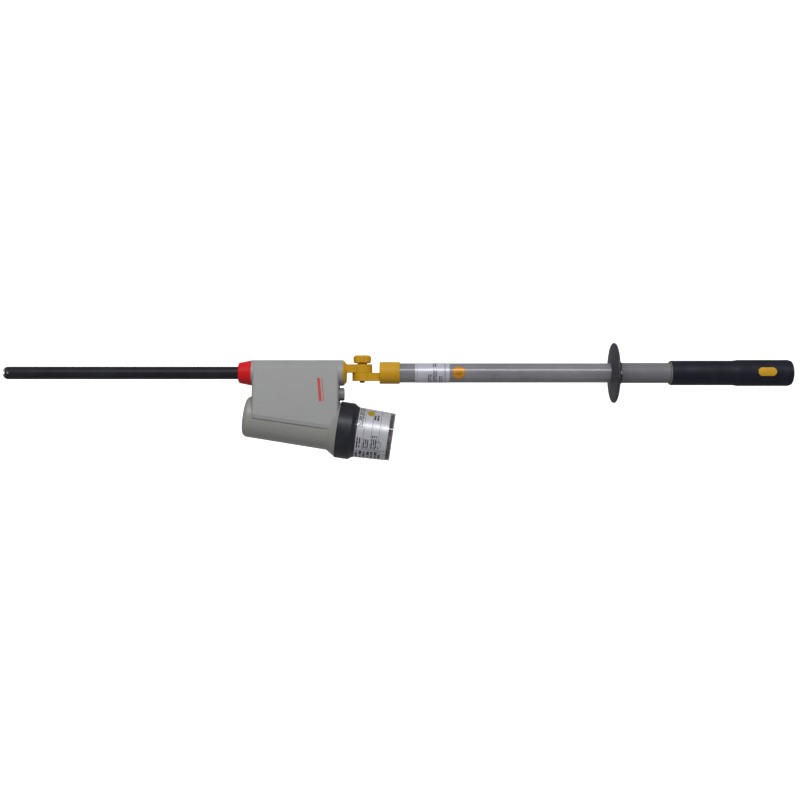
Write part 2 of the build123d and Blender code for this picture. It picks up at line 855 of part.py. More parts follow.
tube_x0 = sleeve_x0 + sleeve_end_wall
tube_x1 = rear_x1 - 4.0
plug_length = 24.0
sleeve_mid = (sleeve_x0 + sleeve_x1) / 2
guide_half_length = 22.0
guide_x0 = release_x - guide_half_length

# The release button looks along the roll plane's normal
roll = radians(release_roll)
release_plane = Plane(origin=(release_x, 0, 0), x_dir=(1, 0, 0), z_dir=(0, -cos(roll), sin(roll)))
window_length = release_length + 2 * release_lip + 1.0
window_width = release_width + 2 * release_lip + 1.0

with BuildPart() as insulating_tube:
    with BuildSketch(Plane.YZ.offset(tube_x0)):
        Circle(tube_r)
        Circle(tube_bore_r, mode=Mode.SUBTRACT)
    extrude(amount=tube_x1 - tube_x0)
    with BuildSketch(release_plane):
        SlotOverall(window_length, window_width)
    extrude(amount=tube_r + 1, mode=Mode.SUBTRACT)
    with BuildSketch(Plane.XY.offset(-sleeve_r)):
        with Locations((sleeve_mid, 0)):
            Circle(pin_r)
    extrude(amount=2 * sleeve_r, mode=Mode.SUBTRACT)

with BuildPart() as tube_plug:
    with BuildSketch(Plane.YZ.offset(tube_x0)):
        Circle(tube_bore_r - glue_gap)
    extrude(amount=plug_length)
    with BuildSketch(Plane.XY.offset(-sleeve_r)):
        with Locations((sleeve_mid, 0)):
            Circle(pin_r)
    extrude(amount=2 * sleeve_r, mode=Mode.SUBTRACT)

with BuildPart() as sleeve_pin:
    with BuildSketch(Plane.XY.offset(-sleeve_r + 0.2)):
        with Locations((sleeve_mid, 0)):
            Circle(pin_r)
    extrude(amount=2 * sleeve_r - 0.4)

with BuildPart() as foam_core:
    with BuildSketch(Plane.YZ.offset(tube_x0 + plug_length)):
        Circle(tube_bore_r - glue_gap)
    extrude(amount=guide_x0 - tube_x0 - plug_length)

label_gap_to_sleeve = 23.4
tube_label_length = 53.0
with BuildPart() as tube_label:
    with BuildSketch(Plane.YZ.offset(sleeve_x1 + label_gap_to_sleeve)):
        Circle(tube_r + label_thickness)
        Circle(tube_r, mode=Mode.SUBTRACT)
    extrude(amount=tube_label_length)

sticker_r = 10.0
sticker_x = sleeve_x1 + 90.7
with BuildPart() as tube_sticker:
    with BuildSketch(Plane.XZ):
        with Locations((sticker_x, 0)):
            Circle(sticker_r)
    extrude(amount=tube_r + 1)
    with BuildSketch(Plane.YZ.offset(sticker_x - sticker_r)):
        Circle(tube_r + label_thickness)
        Circle(tube_r, mode=Mode.SUBTRACT)
    extrude(amount=2 * sticker_r, mode=Mode.INTERSECT)

# ---------------------------------------------------------------- hand guard

guard_rim = 2.0  # half thickness at the rim
guard_front = 6.4  # how far its front stands before its middle plane
guard_rear_dish = 0.9
hub_depth = 8.6
rear_dish_r = 31.0

# Round disc: its front is a low cone, its back is slightly dished, and its rim is rounded
with BuildPart() as hand_guard:
    with BuildSketch(Plane.XZ):
        with BuildLine():
            Polyline(
                (guard_x - guard_front, tube_r + glue_gap),
                (guard_x - guard_front, guard_collar_r),
                (guard_x - guard_rim, guard_r),
                (guard_x + guard_rim, guard_r),
                (guard_x + guard_rim - guard_rear_dish, rear_dish_r),
                (guard_x + guard_rim - guard_rear_dish, tube_r + glue_gap),
                close=True,
            )
        make_face()
    revolve(axis=Axis.X)
    rim_edges = hand_guard.edges().filter_by(GeomType.CIRCLE).sort_by(SortBy.RADIUS)[-2:]
    fillet(rim_edges, guard_rim * 0.9)

hub_plate = 5.4
hub_round = 2.0
guard_screw_circle = guard_hub_r - 4.2
guard_screw_r = 1.5
guard_screw_head_r = 2.6
guard_screw_head_height = 1.6
hub_x0 = guard_x + guard_rim - guard_rear_dish
with BuildPart() as guard_hub:
    with BuildSketch(Plane.YZ.offset(hub_x0)):
        Circle(guard_hub_r)
    extrude(amount=hub_plate)
    fillet(guard_hub.edges().group_by(Axis.X)[-1], hub_round)
    with BuildSketch(Plane.YZ.offset(hub_x0)):
        Circle(guard_collar_r)
    extrude(amount=hub_depth)
    with BuildSketch(Plane.YZ.offset(hub_x0)):
        Circle(tube_r + glue_gap)
        with PolarLocations(guard_screw_circle, 3, start_angle=60):
            Circle(guard_screw_r)
    extrude(amount=hub_depth, mode=Mode.SUBTRACT)

with BuildPart() as guard_screws:
    with BuildSketch(Plane.YZ.offset(hub_x0)):
        with PolarLocations(guard_screw_circle, 3, start_angle=60):
            Circle(guard_screw_r)
    extrude(amount=hub_plate)
    with BuildSketch(Plane.YZ.offset(hub_x0 + hub_plate)):
        with PolarLocations(guard_screw_circle, 3, start_angle=60):
            Circle(guard_screw_head_r)
    extrude(amount=guard_screw_head_height)

# ---------------------------------------------------------------- handle

# Grey shrunk sleeve on the tube between the guard and the handle
handle_sleeve_x0 = hub_x0 + hub_depth
with BuildPart() as handle_sleeve:
    with BuildSketch(Plane.YZ.offset(handle_sleeve_x0)):
        Circle(tube_r + glue_gap + handle_sleeve_wall)
        Circle(tube_r + glue_gap, mode=Mode.SUBTRACT)
    extrude(amount=front_x0 - handle_sleeve_x0)

core_x0 = front_x0 + front_ring_length
front_ring_step = 0.8
grip_edge_round = 1.2

with BuildPart() as front_ring:
    with BuildSketch(Plane.YZ.offset(front_x0)):
        Circle(front_grip_r - front_ring_step)
        Circle(tube_r + glue_gap, mode=Mode.SUBTRACT)
    extrude(amount=front_ring_length)

with BuildPart() as handle_core:
    with BuildSketch(Plane.YZ.offset(core_x0)):
        Circle(core_r)
        Circle(tube_r + glue_gap, mode=Mode.SUBTRACT)
    extrude(amount=tube_x1 - core_x0)
    with BuildSketch(release_plane):
        SlotOverall(window_length, window_width)
    extrude(amount=core_r + 1, mode=Mode.SUBTRACT)

with BuildPart() as front_grip:
    with BuildSketch(Plane.YZ.offset(core_x0)):
        Circle(front_grip_r)
    extrude(amount=step_x0 - core_x0)
    fillet(front_grip.edges().group_by(Axis.X)[0], grip_edge_round)
    with BuildSketch(Plane.YZ.offset(core_x0)):
        Circle(grip_bore_r)
    extrude(amount=step_x0 - core_x0, mode=Mode.SUBTRACT)

# Rear shell: a cone steps up from the front grip, and an oval opening takes the button
with BuildPart() as rear_shell:
    with BuildSketch(Plane.XZ):
        with BuildLine():
            Polyline(
                (step_x0, grip_bore_r),
                (step_x0, front_grip_r),
                (rear_x0, rear_grip_r),
                (rear_x1, rear_grip_r),
                (rear_x1, grip_bore_r),
                close=True,
            )
        make_face()
    revolve(axis=Axis.X)
    with BuildSketch(release_plane):
        SlotOverall(release_length + 2 * slide_gap, release_width + 2 * slide_gap)
    extrude(amount=rear_grip_r + 1, mode=Mode.SUBTRACT)

# Release button: oval cap with a lip behind the shell and a stem in the guide
button_below_grip = 0.15
cap_top_r = rear_grip_r - button_below_grip
lip_half_width = release_width / 2 + release_lip
lip_top = sqrt(grip_bore_r**2 - lip_half_width**2) - slide_gap
lip_height = 1.8
stem_end = 7.0
with BuildPart() as release_button:
    with BuildSketch(release_plane.offset(lip_top)):
        SlotOverall(release_length, release_width)
    extrude(amount=rear_grip_r - lip_top)
    with BuildSketch(Plane.YZ.offset(release_x - release_length)):
        Circle(cap_top_r)
    extrude(amount=2 * release_length, mode=Mode.INTERSECT)
    with BuildSketch(release_plane.offset(lip_top - lip_height)):
        SlotOverall(release_length + 2 * release_lip, release_width + 2 * release_lip)
    extrude(amount=lip_height)
    with BuildSketch(release_plane.offset(stem_end)):
        Circle(release_stem_r)
    extrude(amount=lip_top - lip_height - stem_end)

guide_top = lip_top - lip_height - release_travel - 0.4
guide_floor = 1.5
with BuildPart() as button_guide:
    with BuildSketch(Plane.YZ.offset(guide_x0)):
        Circle(tube_bore_r - glue_gap)
    extrude(amount=2 * guide_half_length)
    with BuildSketch(release_plane.offset(guide_top)):
        Rectangle(window_length + 1, 3 * tube_r)
    extrude(amount=tube_r, mode=Mode.SUBTRACT)
    with BuildSketch(release_plane.offset(guide_floor)):
        Circle(release_stem_r + running_gap)
    extrude(amount=tube_r, mode=Mode.SUBTRACT)

release_spring_r = 2.9
with BuildPart() as release_spring:
    release_spring_length = stem_end - guide_floor - 2 * spring_wire_r - 0.1
    with BuildLine():
        release_coil = Helix(
            pitch=release_spring_length / 3,
            height=release_spring_length,
            radius=release_spring_r,
            center=release_plane.from_local_coords((0, 0, guide_floor + spring_wire_r + 0.05)),
            direction=release_plane.z_dir,
        )
    with BuildSketch(Plane(origin=release_coil @ 0, z_dir=release_coil % 0)):
        Circle(spring_wire_r)
    sweep(path=release_coil)

# End cap: spigot in the shell, dark seal under its rim, one screw into the button guide
seal_thickness = 0.8
seal_x0 = rear_x1
cap_x0 = seal_x0 + seal_thickness
screw_bore_r = 2.0
screw_head_r = 4.0
screw_head_height = 2.0
screw_recess = 2.2
screw_slot_width = 1.0
screw_slot_depth = 1.0
cap_round = 2.4
seal_step = 0.4
spigot_step = 1.0
with BuildPart() as cap_seal:
    with BuildSketch(Plane.YZ.offset(seal_x0)):
        Circle(cap_r - seal_step)
        Circle(grip_bore_r - spigot_step, mode=Mode.SUBTRACT)
    extrude(amount=seal_thickness)

with BuildPart() as end_cap:
    with BuildSketch(Plane.YZ.offset(cap_x0)):
        Circle(cap_r)
    extrude(amount=cap_x1 - cap_x0)
    fillet(end_cap.edges().group_by(Axis.X)[-1], cap_round)
    with BuildSketch(Plane.YZ.offset(tube_x1)):
        Circle(grip_bore_r - spigot_step - glue_gap)
    extrude(amount=cap_x0 - tube_x1)
    with BuildSketch(Plane.YZ.offset(tube_x1)):
        Circle(screw_bore_r)
    extrude(amount=cap_x1 - tube_x1, mode=Mode.SUBTRACT)
    with BuildSketch(Plane.YZ.offset(cap_x1 - screw_recess)):
        Circle(screw_head_r)
    extrude(amount=screw_recess, mode=Mode.SUBTRACT)

with BuildPart() as cap_screw:
    with BuildSketch(Plane.YZ.offset(release_x + guide_half_length)):
        Circle(screw_bore_r)
    extrude(amount=cap_x1 - screw_recess - release_x - guide_half_length)
    with BuildSketch(Plane.YZ.offset(cap_x1 - screw_recess)):
        Circle(screw_head_r)
    extrude(amount=screw_head_height)
    with BuildSketch(Plane.YZ.offset(cap_x1 - screw_recess + screw_head_height - screw_slot_depth)):
        Rectangle(2 * screw_head_r, screw_slot_width)
        Rectangle(screw_slot_width, 2 * screw_head_r)
    extrude(amount=screw_slot_depth, mode=Mode.SUBTRACT)

# ---------------------------------------------------------------- one file for each piece

pieces = {
    "contact_electrode": contact_electrode,
    "electrode_pin": electrode_pin,
    "prod_tube": prod_tube,
    "lead_rods": lead_rods,
    "series_resistor": series_resistor,
    "resistor_caps": resistor_caps,
    "resistor_spacers": resistor_spacers,
    "red_collar": red_collar,
    "nose_seal": nose_seal,
    "detector_housing": detector_housing,
    "chassis": chassis,
    "circuit_board": circuit_board,
    "board_standoffs": board_standoffs,
    "board_chips": board_chips,
    "board_capacitors": board_capacitors,
    "battery": battery,
    "battery_tray": battery_tray,
    "battery_contacts": battery_contacts,
    "indicator_board": indicator_board,
    "indicator_lamps": indicator_lamps,
    "buzzer": buzzer,
    "inner_hood": inner_hood,
    "light_diffuser": light_diffuser,
    "case_gasket": case_gasket,
    "indicator_cup": indicator_cup,
    "cup_label": cup_label,
    "union_ring": union_ring,
    "test_button": test_button,
    "test_button_spring": test_button_spring,
    "test_switch": test_switch,
    "switch_bracket": switch_bracket,
    "upper_lug": upper_lug,
    "flange_pin": flange_pin,
    "lower_lug": lower_lug,
    "friction_disc": friction_disc,
    "clamp_stud": clamp_stud,
    "clamp_washer": clamp_washer,
    "clamp_knob": clamp_knob,
    "knob_insert": knob_insert,
    "insulating_tube": insulating_tube,
    "tube_plug": tube_plug,
    "sleeve_pin": sleeve_pin,
    "foam_core": foam_core,
    "tube_label": tube_label,
    "tube_sticker": tube_sticker,
    "hand_guard": hand_guard,
    "guard_hub": guard_hub,
    "guard_screws": guard_screws,
    "handle_sleeve": handle_sleeve,
    "front_ring": front_ring,
    "handle_core": handle_core,
    "front_grip": front_grip,
    "rear_shell": rear_shell,
    "release_button": release_button,
    "button_guide": button_guide,
    "release_spring": release_spring,
    "cap_seal": cap_seal,
    "end_cap": end_cap,
    "cap_screw": cap_screw,
}
os.makedirs("parts", exist_ok=True)
for name, piece in pieces.items():
    piece.part.label = name
    export_step(piece.part, f"parts/{name}.step")
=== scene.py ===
import json
import math

import bmesh
import bpy
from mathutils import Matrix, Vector


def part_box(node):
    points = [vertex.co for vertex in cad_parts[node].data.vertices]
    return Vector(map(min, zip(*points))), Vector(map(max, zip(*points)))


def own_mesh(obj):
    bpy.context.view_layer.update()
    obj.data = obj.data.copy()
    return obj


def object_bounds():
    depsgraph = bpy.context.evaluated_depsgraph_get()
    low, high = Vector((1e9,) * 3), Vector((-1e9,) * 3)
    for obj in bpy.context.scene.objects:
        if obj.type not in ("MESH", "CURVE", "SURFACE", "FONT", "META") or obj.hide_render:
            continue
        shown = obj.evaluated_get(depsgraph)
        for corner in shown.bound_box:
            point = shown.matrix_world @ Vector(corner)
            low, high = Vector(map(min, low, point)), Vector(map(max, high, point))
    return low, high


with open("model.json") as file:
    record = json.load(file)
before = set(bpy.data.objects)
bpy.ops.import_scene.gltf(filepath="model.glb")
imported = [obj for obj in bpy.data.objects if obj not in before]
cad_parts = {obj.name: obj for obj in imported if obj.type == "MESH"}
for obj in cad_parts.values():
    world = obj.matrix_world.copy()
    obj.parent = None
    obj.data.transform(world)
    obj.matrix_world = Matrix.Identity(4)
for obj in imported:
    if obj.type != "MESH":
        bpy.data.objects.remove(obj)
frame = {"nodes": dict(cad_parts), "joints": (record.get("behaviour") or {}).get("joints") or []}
cad_box = [list(corner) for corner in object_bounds()]
hinges = {joint["name"]: joint for joint in frame["joints"]}
pivot = Vector(hinges["head_swivel"]["pos_m"])

# ---------------------------------------------------------------- prod tube
# The prod is a black glass-fibre tube, drawn through a die, so fine lines run along it. It is
# polished a little where hands and holsters rub it, and paler dust sits in the drawn lines.


class Wire:
    """A shader value. Arithmetic on wires adds the Math nodes that do it."""

    def __init__(self, finish, socket):
        self.finish = finish
        self.socket = socket

    def calc(self, operation, *others):
        sockets = {0: self}
        for place, other in enumerate(others, 1):
            sockets[place] = other
        return self.finish.node("Math", {"operation": operation}, sockets)

    def flipped(self, operation, first):
        return self.finish.node("Math", {"operation": operation}, {0: first, 1: self})

    def __add__(self, other):
        return self.calc("ADD", other)

    def __radd__(self, other):
        return self.calc("ADD", other)

    def __sub__(self, other):
        return self.calc("SUBTRACT", other)

    def __rsub__(self, other):
        return self.flipped("SUBTRACT", other)

    def __mul__(self, other):
        return self.calc("MULTIPLY", other)

    def __rmul__(self, other):
        return self.calc("MULTIPLY", other)

    def __truediv__(self, other):
        return self.calc("DIVIDE", other)

    def __gt__(self, other):
        return self.calc("GREATER_THAN", other)

    def __lt__(self, other):
        return self.calc("LESS_THAN", other)

    def within(self, low, high):
        return (self > low) * (self < high)


class Finish:
    """One material, with the one method that adds a node to it."""

    def __init__(self, name, colour, roughness, **plain):
        self.material = bpy.data.materials.new(name)
        self.material.use_nodes = True
        self.tree = self.material.node_tree
        self.shader = self.tree.nodes["Principled BSDF"]
        self.shade(Base_Color=colour, Roughness=roughness, **plain)
        self.place = self.node("TexCoord", output="Object")

    def node(self, kind, settings=(), sockets=(), output=0):
        node = self.tree.nodes.new("ShaderNode" + kind)
        for name, value in dict(settings).items():
            if name == "stops":
                while len(node.color_ramp.elements) < len(value):
                    node.color_ramp.elements.new(0.5)
                for element, (position, shade) in zip(node.color_ramp.elements, value):
                    element.position = position
                    element.color = (shade, shade, shade, 1)
            else:
                setattr(node, name, value)
        for key, value in dict(sockets).items():
            if isinstance(value, Wire):
                self.tree.links.new(value.socket, node.inputs[key])
            else:
                node.inputs[key].default_value = value
        return Wire(self, node.outputs[output])

    def shade(self, **values):
        for name, value in values.items():
            socket = self.shader.inputs[name.replace("_", " ")]
            if isinstance(value, Wire):
                self.tree.links.new(value.socket, socket)
            else:
                socket.default_value = value

    def axes(self, vector=None):
        parts = self.node("SeparateXYZ", sockets={0: vector or self.place})
        outputs = parts.socket.node.outputs
        return [Wire(self, output) for output in outputs]

    def stretched(self, scale, vector=None):
        return self.node("Mapping", sockets={"Vector": vector or self.place, "Scale": scale})

    def noise(self, scale, detail=3.0, vector=None):
        sockets = {"Vector": vector or self.place, "Scale": scale, "Detail": detail}
        return self.node("TexNoise", sockets=sockets)

    def ramp(self, value, *stops):
        return self.node("ValToRGB", {"stops": stops}, {0: value})

    def mix(self, share, first, second):
        return self.node("Mix", {"data_type": "RGBA"}, {0: share, 6: first, 7: second}, output=2)

    def relief(self, height, depth):
        bump = self.node("Bump", sockets={"Strength": 1.0, "Distance": depth, "Height": height})
        self.shade(Normal=bump)

    def coat(self, *names):
        for name in names:
            mesh = frame["nodes"][name].data
            mesh.materials.clear()
            mesh.materials.append(self.material)


def drawn_finish(name, colour, dusty, roughness, line_scale, relief_depth, **plain):
    """A drawn tube's skin: long fine lines, faint mottling, and a little dust."""
    finish = Finish(name, colour, roughness, **plain)
    lines = finish.noise(1.0, 4.0, finish.stretched((6.0, line_scale, line_scale)))
    mottle = finish.noise(38.0, 5.0)
    rubbed = finish.ramp(mottle, (0.35, 0.0), (0.75, 1.0))
    tint = finish.mix(rubbed * 0.55 + lines * 0.25, colour, dusty)
    finish.shade(Base_Color=tint, Roughness=roughness - 0.06 + lines * 0.14 + rubbed * 0.08)
    finish.relief(lines, relief_depth)
    return finish


prod_skin = drawn_finish(
    "prod_glass_fibre",
    colour=(0.010, 0.010, 0.015, 1),
    dusty=(0.024, 0.025, 0.034, 1),
    roughness=0.40,
    line_scale=900.0,
    relief_depth=0.00025,
    Specular_IOR_Level=0.20,
)
prod_skin.coat("prod_tube")

# ---------------------------------------------------------------- electrode and prod inside
# The contact electrode is a bronze crown that is pressed into the prod and cross-pinned. Its teeth
# are rubbed bright by the lines they touch. A resistor on brass leads runs down the prod.


def metal_finish(name, colour, dark, roughness, scale=140.0):
    """Turned metal: tool marks across X, and stains that dull it."""
    finish = Finish(name, colour, roughness, Metallic=1.0)
    stain = finish.ramp(finish.noise(scale, 6.0), (0.38, 0.0), (0.66, 1.0))
    marks = finish.noise(1.0, 2.0, finish.stretched((4200.0, 120.0, 120.0)))
    finish.shade(
        Base_Color=finish.mix(stain, colour, dark),
        Roughness=roughness + stain * 0.22 + marks * 0.08,
        Metallic=1.0 - stain * 0.25,
    )
    finish.relief(marks + stain * 0.4, 0.00006)
    return finish


bronze = metal_finish("worn_bronze", (0.52, 0.36, 0.20, 1), (0.17, 0.11, 0.065, 1), 0.34)
bronze.coat("contact_electrode")
brass = metal_finish("turned_brass", (0.72, 0.53, 0.20, 1), (0.40, 0.27, 0.09, 1), 0.28)
brass.coat("lead_rods", "resistor_caps", "knob_insert")
steel = metal_finish("plated_steel", (0.62, 0.62, 0.62, 1), (0.36, 0.35, 0.34, 1), 0.30)
steel.coat("electrode_pin", "flange_pin", "sleeve_pin", "guard_screws", "cap_screw")
steel.coat("battery_contacts")

glaze = Finish("resistor_ceramic", (0.62, 0.58, 0.47, 1), 0.35)
spiral = glaze.node(
    "TexWave",
    {"bands_direction": "X"},
    {"Vector": glaze.place, "Scale": 160.0, "Distortion": 0.6},
)
glaze.shade(Base_Color=glaze.mix(spiral * 0.5, (0.62, 0.58, 0.47, 1), (0.30, 0.24, 0.16, 1)))
glaze.relief(spiral, 0.0001)
glaze.coat("series_resistor")

# ---------------------------------------------------------------- moulded plastics
# Most small pieces are injection moulded. Spark-eroded moulds leave a fine even grain, the plastic
# flows with faint tone changes, and handling leaves smoother, slightly darker patches.


def moulded_finish(
    name, colour, worn, roughness, grain=2600.0, grain_depth=0.00004, wear=1.0, **plain
):
    """Moulded plastic: eroded grain, flow tones and handling wear."""
    finish = Finish(name, colour, roughness, **plain)
    eroded = finish.noise(grain, 2.0)
    flow = finish.noise(14.0, 4.0)
    handled = finish.ramp(finish.noise(46.0, 6.0), (0.46, 0.0), (0.72, 1.0))
    finish.tone = finish.mix((handled * 0.45 + flow * 0.25) * wear, colour, worn)
    finish.shade(Base_Color=finish.tone, Roughness=roughness + eroded * 0.12 - handled * 0.10)
    finish.relief(eroded, grain_depth)
    return finish


signal_red = moulded_finish(
    "signal_red_plastic",
    (0.66, 0.006, 0.009, 1),
    (0.50, 0.005, 0.008, 1),
    0.38,
    Specular_IOR_Level=0.25,
)
signal_red.coat("red_collar")
black_plastic = moulded_finish(
    "black_moulding",
    (0.010, 0.010, 0.016, 1),
    (0.020, 0.020, 0.030, 1),
    0.42,
    Specular_IOR_Level=0.3,
)
black_plastic.coat("chassis", "battery_tray", "tube_plug", "button_guide", "board_standoffs")
black_plastic.coat("handle_core", "end_cap")
white_plastic = moulded_finish(
    "frosted_plastic", (0.68, 0.68, 0.66, 1), (0.52, 0.52, 0.48, 1), 0.5
)
white_plastic.coat("resistor_spacers", "light_diffuser", "switch_bracket")
cream_plastic = moulded_finish(
    "cream_ring_plastic", (0.19, 0.175, 0.130, 1), (0.11, 0.10, 0.075, 1), 0.5
)
cream_plastic.coat("front_ring")
seal_rubber = moulded_finish(
    "seal_rubber", (0.010, 0.010, 0.011, 1), (0.03, 0.03, 0.03, 1), 0.6, 900.0, 0.00008
)
seal_rubber.coat("nose_seal", "case_gasket", "cap_seal", "friction_disc")
foam = moulded_finish("core_foam", (0.62, 0.52, 0.30, 1), (0.46, 0.36, 0.18, 1), 0.9, 700.0, 0.0004)
foam.coat("foam_core")

# ---------------------------------------------------------------- detector housing
# One grey polyamide moulding: a barrel, a web and a slanted case in a single shell. The web's skin
# ends in a sharp ledge where the mould parts, with painted shadow under it. A plain red mark is
# printed on it.

housing_grey = (0.285, 0.287, 0.289, 1)
case_warm = (0.280, 0.282, 0.267, 1)
ledge_shadow_grey = (0.085, 0.085, 0.08, 1)
mark_red = (0.46, 0.02, 0.02, 1)
case_axis = Vector(hinges["union_turn"]["axis"]).normalized()
case_start = Vector(hinges["union_turn"]["pos_m"])
case_tilt = math.atan2(-case_axis.z, case_axis.x)


def case_place(finish):
    """Object coordinates, turned so that X runs along the slanted case from its closed end."""
    sockets = {"Vector": finish.place, "Location": case_start, "Rotation": (0, case_tilt, 0)}
    return finish.node("Mapping", {"vector_type": "TEXTURE"}, sockets)


def along_case(finish):
    """Distance along the slanted case, across it, and up from its axis."""
    return finish.axes(case_place(finish))


housing = moulded_finish(
    "housing_grey", housing_grey, (0.235, 0.238, 0.225, 1), 0.42, 3200.0, 0.00003, wear=0.45
)
along, _, up = along_case(housing)
x, y, z = housing.axes()
ledge_start = 0.0125
ledge_end = 0.121
ledge_width = 0.0013
case_top = 0.034
below_web = up < 0.0
closed_end = (along < ledge_start) * (up < case_top)
# A dark line of painted shadow runs just below the web's ledge, and its strength varies along it.
shadow_unevenness = housing.ramp(housing.noise(90.0, 5.0), (0.25, 0.35), (0.7, 1.0))
ledge_shadow_line = below_web * (up > -ledge_width) * along.within(ledge_start, ledge_end) * shadow_unevenness
case_share = (below_web + closed_end).calc("MINIMUM", 1.0)
tone = housing.mix(case_share, housing.tone, case_warm)
tone = housing.mix(ledge_shadow_line * 0.8, tone, ledge_shadow_grey)
mark_to_pivot = 0.0665
mark_x = pivot.x - mark_to_pivot
mark_top = -0.008
mark_bottom = -0.044
mark_half_width = 0.0022
mark_slope = 0.10
across = x - mark_x + (z - mark_top) * mark_slope
bar = across.within(-mark_half_width, mark_half_width)
rule = across.within(2 * mark_half_width, 2.5 * mark_half_width)
printed = (bar + rule) * z.within(mark_bottom, mark_top) * (y < 0.0)
housing.shade(Base_Color=housing.mix(printed, tone, mark_red))
housing.coat("detector_housing")

# ---------------------------------------------------------------- boards inside the case
# Glass-epoxy boards with green solder mask carry the circuit, the lamps and the buzzer. Copper
# tracks show as slightly raised, brighter lines under the mask.

mask_green = (0.012, 0.11, 0.045, 1)
board = Finish("board_solder_mask", mask_green, 0.3, Coat_Weight=0.4)
tracks = board.node(
    "TexBrick",
    {"offset": 0.5},
    {"Vector": board.place, "Scale": 60.0, "Mortar Size": 0.035, "Brick Width": 0.9},
    output="Fac",
)
board.shade(Base_Color=board.mix(tracks, mask_green, (0.03, 0.22, 0.09, 1)))
board.relief(tracks, 0.0001)
board.coat("circuit_board", "indicator_board")
chip_epoxy = moulded_finish("chip_epoxy", (0.012, 0.012, 0.012, 1), (0.04, 0.04, 0.04, 1), 0.5)
chip_epoxy.coat("board_chips", "board_capacitors", "buzzer", "test_switch")
lamp_red = moulded_finish(
    "lamp_red", (0.55, 0.02, 0.01, 1), (0.35, 0.01, 0.01, 1), 0.12, Coat_Weight=0.6
)
lamp_red.coat("indicator_lamps")
battery_blue = moulded_finish(
    "battery_lacquer", (0.05, 0.10, 0.30, 1), (0.30, 0.26, 0.12, 1), 0.3, Coat_Weight=0.3
)
battery_blue.coat("battery")

# ---------------------------------------------------------------- indicator cup and its hood
# The cup is a smoke-clear polycarbonate moulding that the union ring holds on the case. A matt black
# hood inside it keeps daylight off the lamps, so it looks dark behind the label's edge.

smoke_clear = (0.070, 0.064, 0.069, 1)
cup = Finish("clear_polycarbonate", smoke_clear, 0.09)
scuffs = cup.ramp(cup.noise(60.0, 7.0), (0.50, 0.0), (0.72, 1.0))
cup.shade(
    Base_Color=cup.mix(scuffs, smoke_clear, (0.15, 0.14, 0.15, 1)),
    Roughness=0.08 + scuffs * 0.2,
    Alpha=0.72 + scuffs * 0.10,
)
cup.coat("indicator_cup")
hood_black = moulded_finish(
    "hood_black", (0.006, 0.006, 0.008, 1), (0.014, 0.014, 0.016, 1), 0.55
)
hood_black.coat("inner_hood")

# ---------------------------------------------------------------- cup label
# A silvery film printed with a data table, wrapped round the cup. The table's words are left out:
# plain rules and short bars stand in their places.

film_silver = (0.50, 0.50, 0.55, 1)
ink_grey = (0.030, 0.032, 0.045, 1)


def printed_film(name, colour):
    """Silvery printed film: soft sheen, fine fibre and small creases."""
    finish = Finish(name, colour, 0.32, Metallic=0.25)
    crease = finish.noise(120.0, 5.0)
    finish.shade(Roughness=0.26 + crease * 0.18)
    finish.relief(crease, 0.00005)
    return finish


cup_film = printed_film("cup_film", film_silver)
along, side, up = along_case(cup_film)
turn = up.calc("ARCTAN2", side * -1.0)
label_low, label_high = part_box("cup_label")
cup_label_r = (label_high.y - label_low.y) / 2
film_start = (label_low.x - case_start.x + cup_label_r * math.sin(case_tilt)) / math.cos(case_tilt)
step = along - film_start


def print_rules(position, first, pitch, count, width):
    """Thin printed rules at an even pitch."""
    rules = position.within(first, first + width)
    for number in range(1, count):
        start = first + number * pitch
        rules = rules + position.within(start, start + width)
    return rules


def print_bars(finish, lines, reading, area, pitch, grain):
    """Rows of short bars of uneven length, as small print looks from far away."""
    line_from, line_to, reading_from, reading_to = area
    inside = lines.within(line_from, line_to) * reading.within(reading_from, reading_to)
    row = (lines - line_from) / pitch
    number = row.calc("FLOOR")
    row_shift = 7.3
    bar_share = 0.42
    row_fill = 0.62
    place = finish.node("CombineXYZ", sockets={0: number * row_shift, 1: reading * grain})
    inked = finish.noise(1.0, 1.0, place) > bar_share
    return inside * inked * ((row - number) < row_fill)


def print_areas(finish, lines, reading, areas):
    """Every area of small print on a film."""
    bars = 0.0
    for area, pitch, grain in areas:
        bars = bars + print_bars(finish, lines, reading, area, pitch, grain)
    return bars


def print_oval(lines, reading, centre, reach):
    """Squared distance from an oval's centre, which is 1 on its edge."""
    across = (lines - centre[0]) / reach[0]
    around = (reading - centre[1]) / reach[1]
    return across * across + around * around


# Areas of print: from and to along the film, from and to round it, row pitch, and bar grain
cup_areas = (
    ((0.0015, 0.0090, 0.25, 1.35), 0.0025, 11.0),
    ((0.0015, 0.0090, -0.62, -0.12), 0.0037, 9.0),
    ((0.0120, 0.0210, -0.60, -0.20), 0.0030, 9.0),
    ((0.0240, 0.0330, -0.60, -0.02), 0.0030, 9.0),
    ((0.0240, 0.0330, 0.62, 0.95), 0.0045, 9.0),
    ((0.0015, 0.0400, -1.30, -0.74), 0.0058, 9.0),
)
column_start = 0.0105
column_pitch = 0.0120
column_count = 3
cup_rule_width = 0.0005
long_rule_from = -0.66
long_rule_to = -0.64
badge_yellow = (0.42, 0.29, 0.02, 1)
badge_centre = (0.0180, 1.02)
badge_reach = (0.0058, 0.20)
ring_centre = (0.0350, -0.38)
ring_reach = (0.0042, 0.16)
ring_inner = 0.68
ink_strength = 0.95

